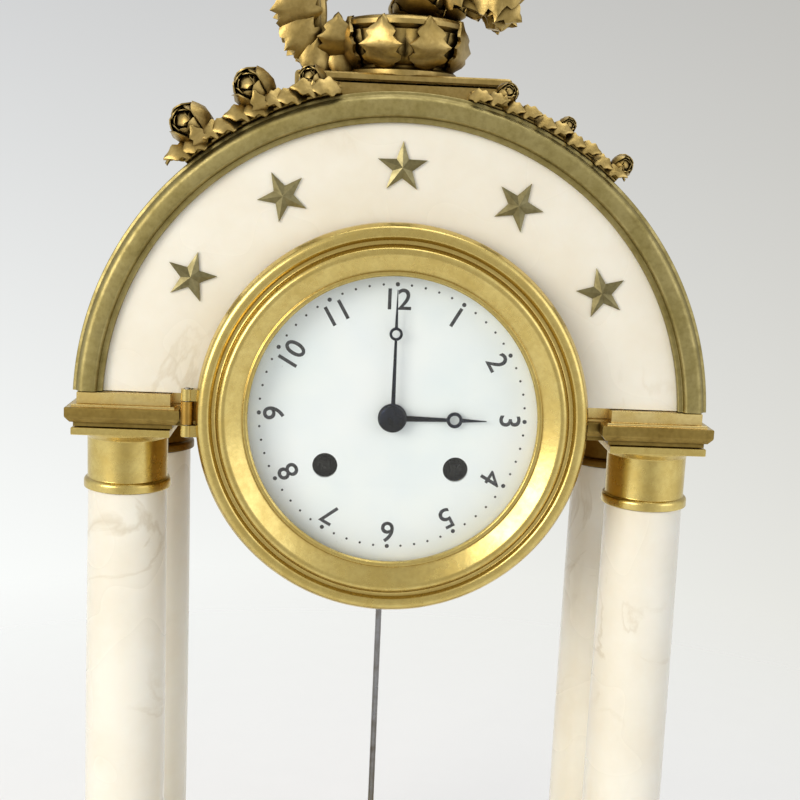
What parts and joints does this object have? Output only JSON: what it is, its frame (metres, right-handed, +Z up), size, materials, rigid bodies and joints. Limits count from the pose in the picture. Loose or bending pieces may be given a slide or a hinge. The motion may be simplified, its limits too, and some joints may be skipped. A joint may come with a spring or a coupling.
{
  "type": "mantel clock",
  "caption": "Portico mantel clock: marble base, columns and arch with gilt-bronze mounts carry a round striking movement, hinged glazed bezel and swinging pendulum.",
  "frame": {"origin": "centre of the underside, on the surface that the feet stand on", "axes": "+Z up, +X to the right of someone facing the dial, -Y out of the dial"},
  "size_m": [0.256, 0.138, 0.4757],
  "materials": {
    "marble": "polished white marble",
    "gilt_bronze": "fire-gilt bronze",
    "brass": "satin brass",
    "steel": "polished steel",
    "blued_steel": "blued steel",
    "enamel": "white vitreous enamel",
    "glass": "clear domed glass",
    "bell_metal": "turned bell metal"
  },
  "bodies": {
    "case": {"arch_block": "marble", "arch_rim": "gilt_bronze", "arch_star_1": "gilt_bronze", "arch_star_2": "gilt_bronze", "arch_star_3": "gilt_bronze", "arch_star_4": "gilt_bronze", "arch_star_5": "gilt_bronze", "back_plate": "brass", "base_plinth": "marble", "bell": "bell_metal", "bezel_hinge_pin": "steel", "capital_back_left": "gilt_bronze", "capital_back_right": "gilt_bronze", "capital_front_left": "gilt_bronze", "capital_front_right": "gilt_bronze", "column_base_back_left": "gilt_bronze", "column_base_back_right": "gilt_bronze", "column_base_front_left": "gilt_bronze", "column_base_front_right": "gilt_bronze", "column_shaft_back_left": "marble", "column_shaft_back_right": "marble", "column_shaft_front_left": "marble", "column_shaft_front_right": "marble", "crest_urn": "gilt_bronze", "dial": "enamel", "drum_shell": "brass", "entablature_left": "gilt_bronze", "entablature_right": "gilt_bronze", "foot_back_left": "gilt_bronze", "foot_back_right": "gilt_bronze", "foot_front_left": "gilt_bronze", "foot_front_right": "gilt_bronze", "front_plate": "brass", "garland_left": "gilt_bronze", "garland_right": "gilt_bronze", "pendulum_cock": "brass"},
    "bezel_door": {"bezel": "gilt_bronze", "bezel_glass": "glass"},
    "back_cover": {"back_cover": "brass"},
    "centre": {"centre_wheel": "brass", "cannon_pinion": "steel", "minute_hand": "blued_steel"},
    "hour": {"hour_wheel": "brass", "hour_hand": "blued_steel"},
    "minute_wheel": {"minute_wheel": "brass"},
    "intermediate": {"intermediate_wheel": "brass"},
    "going_barrel": {"going_barrel": "brass", "going_mainspring": "steel"},
    "third": {"third_wheel": "brass"},
    "escape": {"escape_wheel": "brass"},
    "anchor": {"pallet_anchor": "steel"},
    "pendulum": {"pendulum_rod": "steel", "pendulum_bob": "gilt_bronze"},
    "rating_nut": {"rating_nut": "gilt_bronze"},
    "going_winding": {"going_winding_arbor": "steel"},
    "strike_barrel": {"strike_barrel": "brass", "strike_mainspring": "steel"},
    "strike_wheel": {"strike_wheel": "brass"},
    "strike_winding": {"strike_winding_arbor": "steel"},
    "hammer": {"hammer": "steel"}
  },
  "joints": [
    {"name": "bezel_open", "type": "hinge", "parent": "case", "child": "bezel_door", "pos_m": [-0.071, -0.05664, 0.2935], "axis": [0, 0, -1], "range_deg": [0, 110]},
    {"name": "back_cover_pull", "type": "slide", "parent": "case", "child": "back_cover", "axis": [0, 1, 0], "range_m": [0, 0.045]},
    {"name": "centre_turn", "type": "hinge", "parent": "case", "child": "centre", "pos_m": [0, 0, 0.2935], "axis": [0, 1, 0], "continuous": true},
    {"name": "hour_turn", "type": "hinge", "parent": "case", "child": "hour", "pos_m": [0, 0, 0.2935], "axis": [0, 1, 0], "continuous": true},
    {"name": "minute_wheel_turn", "type": "hinge", "parent": "case", "child": "minute_wheel", "pos_m": [0, 0, 0.2795], "axis": [0, 1, 0], "continuous": true},
    {"name": "intermediate_turn", "type": "hinge", "parent": "case", "child": "intermediate", "pos_m": [0.00134, 0, 0.27415], "axis": [0, 1, 0], "continuous": true},
    {"name": "going_barrel_turn", "type": "hinge", "parent": "case", "child": "going_barrel", "pos_m": [0.023, 0, 0.2755], "axis": [0, 1, 0], "continuous": true},
    {"name": "third_turn", "type": "hinge", "parent": "case", "child": "third", "pos_m": [0.0126, 0, 0.30636], "axis": [0, 1, 0], "continuous": true},
    {"name": "escape_turn", "type": "hinge", "parent": "case", "child": "escape", "pos_m": [0, 0, 0.3145], "axis": [0, 1, 0], "continuous": true},
    {"name": "pendulum_swing", "type": "hinge", "parent": "case", "child": "pendulum", "pos_m": [0, 0, 0.3315], "axis": [0, 1, 0], "range_deg": [-4, 4]},
    {"name": "anchor_swing", "type": "hinge", "parent": "case", "child": "anchor", "pos_m": [0, 0, 0.3315], "axis": [0, 1, 0], "range_deg": [-4, 4]},
    {"name": "rating_nut_turn", "type": "hinge", "parent": "pendulum", "child": "rating_nut", "pos_m": [0, 0.0069, 0.082], "axis": [0, 0, 1], "continuous": true},
    {"name": "going_winding_turn", "type": "hinge", "parent": "case", "child": "going_winding", "pos_m": [0.023, 0, 0.2755], "axis": [0, 1, 0], "continuous": true},
    {"name": "strike_barrel_turn", "type": "hinge", "parent": "case", "child": "strike_barrel", "pos_m": [-0.023, 0, 0.2755], "axis": [0, 1, 0], "continuous": true},
    {"name": "strike_wheel_turn", "type": "hinge", "parent": "case", "child": "strike_wheel", "pos_m": [-0.02677, 0, 0.29687], "axis": [0, 1, 0], "continuous": true},
    {"name": "strike_winding_turn", "type": "hinge", "parent": "case", "child": "strike_winding", "pos_m": [-0.023, 0, 0.2755], "axis": [0, 1, 0], "continuous": true},
    {"name": "hammer_lift", "type": "hinge", "parent": "case", "child": "hammer", "pos_m": [-0.044, 0, 0.2855], "axis": [0, 1, 0], "range_deg": [0, 16]}
  ],
  "couplings": [
    {"joint": "hour_turn", "follows": "centre_turn", "ratio": 0.083333},
    {"joint": "minute_wheel_turn", "follows": "centre_turn", "ratio": -0.33333},
    {"joint": "intermediate_turn", "follows": "centre_turn", "ratio": -0.16667},
    {"joint": "going_barrel_turn", "follows": "centre_turn", "ratio": 0.033333},
    {"joint": "third_turn", "follows": "centre_turn", "ratio": -10},
    {"joint": "escape_turn", "follows": "centre_turn", "ratio": 110},
    {"joint": "anchor_swing", "follows": "pendulum_swing", "ratio": 1},
    {"joint": "strike_wheel_turn", "follows": "strike_barrel_turn", "ratio": -5}
  ]
}
